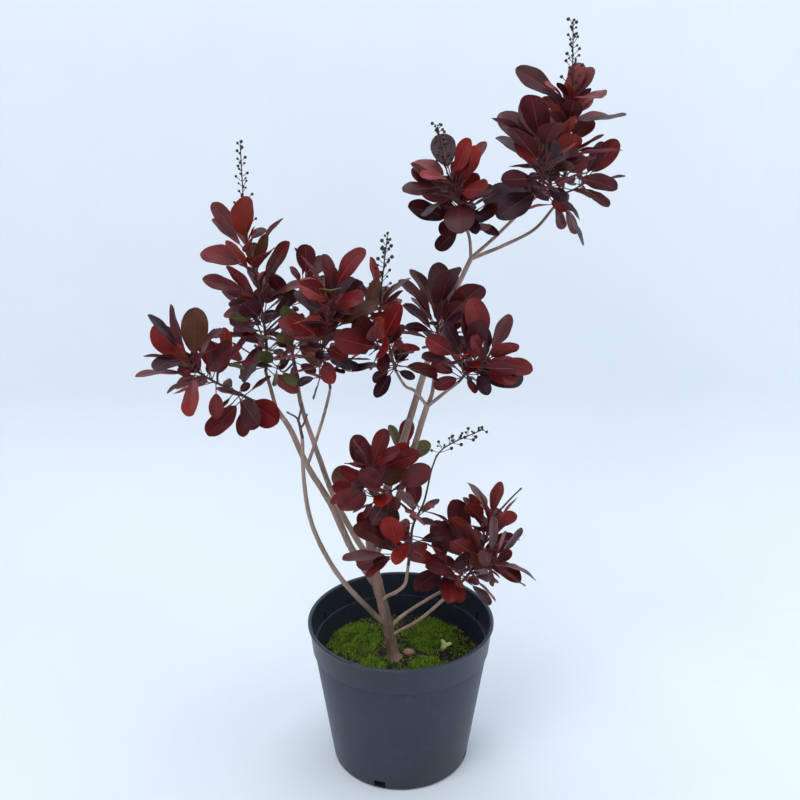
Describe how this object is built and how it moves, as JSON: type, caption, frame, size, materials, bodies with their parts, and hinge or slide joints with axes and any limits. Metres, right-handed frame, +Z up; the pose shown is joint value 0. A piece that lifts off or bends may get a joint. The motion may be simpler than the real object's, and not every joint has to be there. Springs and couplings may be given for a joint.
{
  "type": "potted smoke bush",
  "caption": "Young purple smoke bush with slender stems, oval purple-red leaves and old fruit stalks, in a round nursery pot with soil and moss.",
  "frame": {"origin": "centre of the pot's flat underside", "axes": "+Z up along the pot's axis, +X to the right of the plant's front view, +Y to its back"},
  "size_m": [0.626, 0.4062, 1.0082],
  "materials": {
    "pot": "dusty slate-blue moulded plastic",
    "soil": "dark loose compost",
    "moss": "green moss",
    "bark_chip": "dry bark",
    "bark": "grey-brown bark",
    "dry_twig": "dry dark twigs",
    "foliage": "dark purple and crimson leaves"
  },
  "bodies": {
    "root": {"bark_chip": "bark_chip", "centre_bough": "bark", "centre_foliage": "foliage", "dead_spray": "dry_twig", "far_left_bough": "bark", "far_left_foliage": "foliage", "leader_stem": "bark", "leader_top_twig": "bark", "left_inner_foliage": "foliage", "left_low_stem": "bark", "left_middle_stem": "bark", "left_stem": "bark", "left_top_foliage": "foliage", "left_upper_bough": "bark", "low_back_foliage": "foliage", "low_behind_foliage": "foliage", "low_curved_twig": "bark", "low_left_foliage": "foliage", "low_left_twig": "bark", "low_middle_foliage": "foliage", "low_right_foliage": "foliage", "low_right_front_stem": "bark", "low_right_stem": "bark", "middle_left_twig": "bark", "middle_right_twig": "bark", "middle_stem": "bark", "middle_top_twig": "bark", "moss_front_left": "moss", "moss_front_right": "moss", "moss_left": "moss", "moss_right": "moss", "pot": "pot", "right_foliage": "foliage", "right_front_foliage": "foliage", "right_outer_bough": "bark", "right_upper_bough": "bark", "soil": "soil", "top_middle_foliage": "foliage", "top_right_foliage": "foliage", "trunk": "bark", "upper_centre_foliage": "foliage", "upper_right_foliage": "foliage"}
  },
  "joints": []
}
